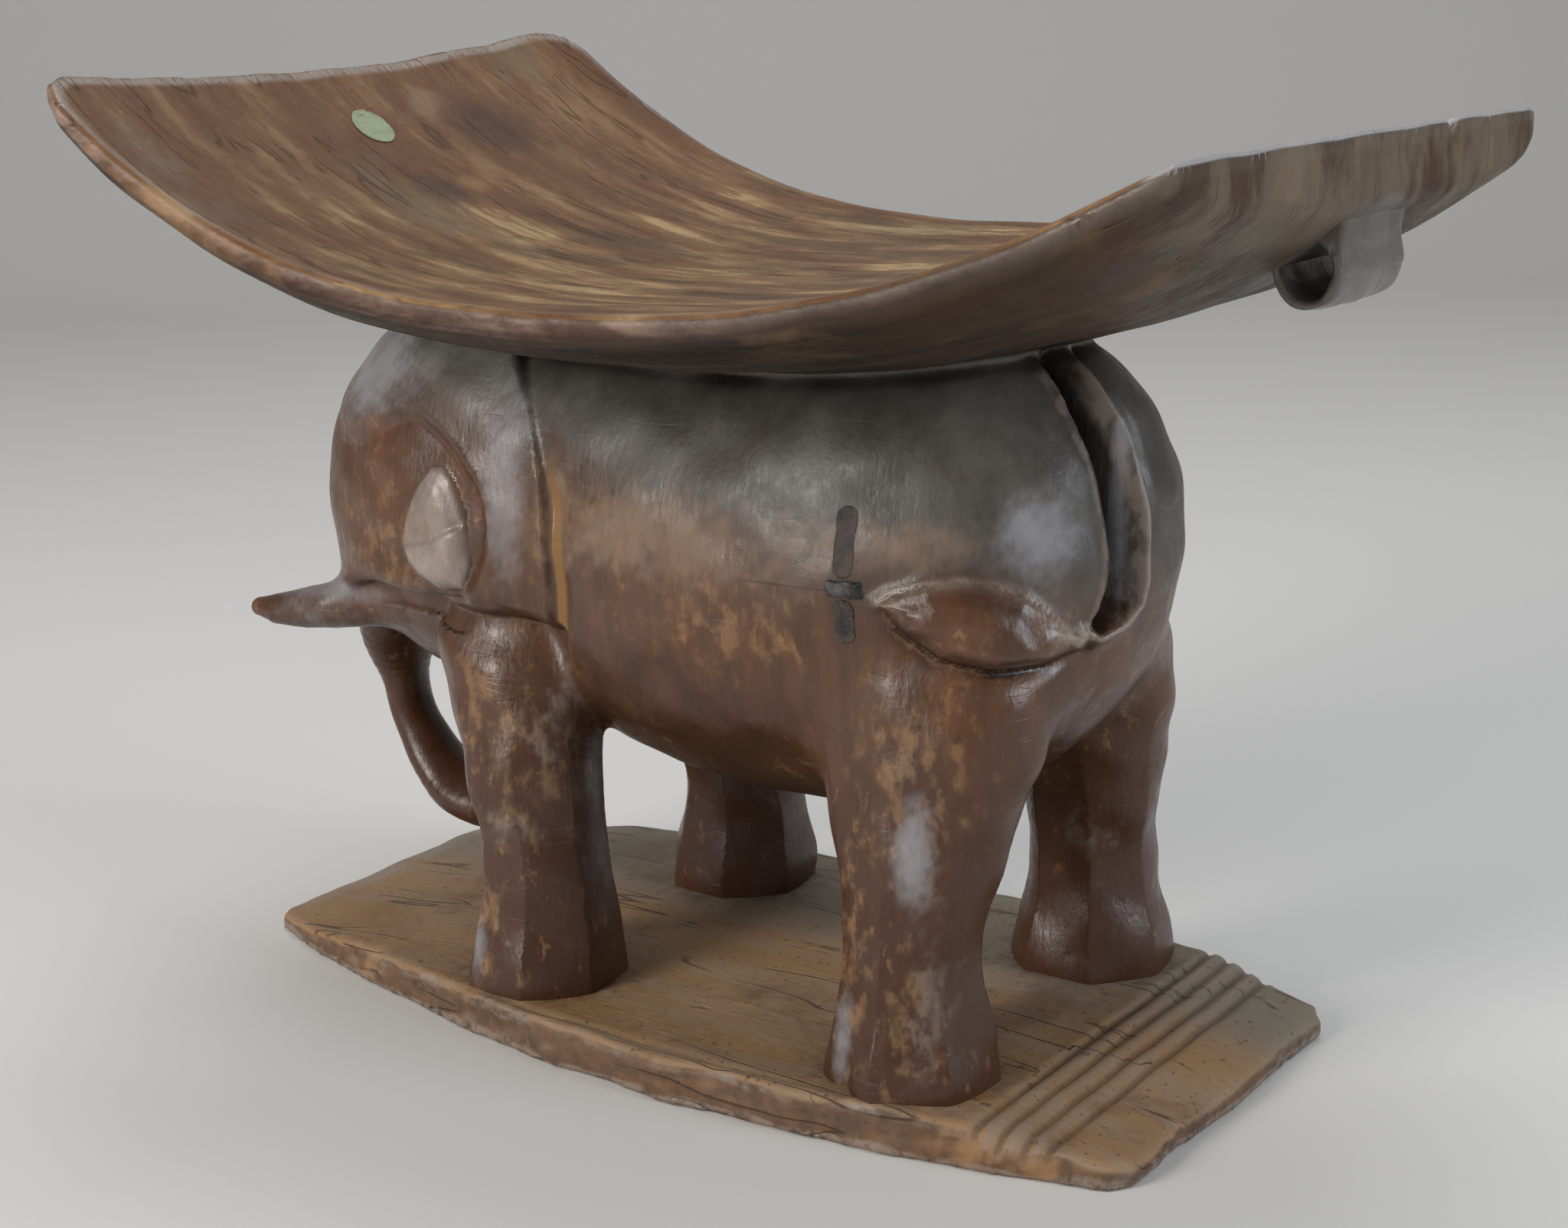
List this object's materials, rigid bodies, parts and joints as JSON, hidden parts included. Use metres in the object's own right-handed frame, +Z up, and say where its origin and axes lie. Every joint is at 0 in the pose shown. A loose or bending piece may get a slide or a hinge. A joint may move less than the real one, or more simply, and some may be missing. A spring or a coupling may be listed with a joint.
{
  "type": "carved elephant stool",
  "caption": "Hardwood stool carved as an elephant standing on a bowed base and carrying a curved seat with upswept ends, with a carved loop under the tail end.",
  "frame": {"origin": "on the floor, under the centre of the bounding box", "axes": "+Z up, +X from the elephant's head towards its tail, -Y towards the elephant's left side"},
  "size_m": [0.52, 0.3352, 0.4033],
  "materials": {
    "seat_wood": "worn and streaky, burnished along the rim",
    "base_wood": "dry and dusty, with worn edges",
    "body_wood": "burnished brown under a grey patina",
    "inlay": "dark filler, matt",
    "iron": "dark, hand forged",
    "label_paper": "bare pale green paper"
  },
  "bodies": {
    "root": {"seat": "seat_wood", "seat_loop": "seat_wood", "base": "base_wood", "torso": "body_wood", "head": "body_wood", "left_ear": "body_wood", "right_ear": "body_wood", "left_eye": "body_wood", "right_eye": "body_wood", "left_tusk": "body_wood", "right_tusk": "body_wood", "trunk": "body_wood", "tail": "body_wood", "tail_tuft": "body_wood", "front_left_leg": "body_wood", "front_right_leg": "body_wood", "hind_left_leg": "body_wood", "hind_right_leg": "body_wood", "repair_inlay_upper": "inlay", "repair_inlay_lower": "inlay", "iron_staple": "iron", "paper_label": "label_paper"}
  },
  "joints": []
}
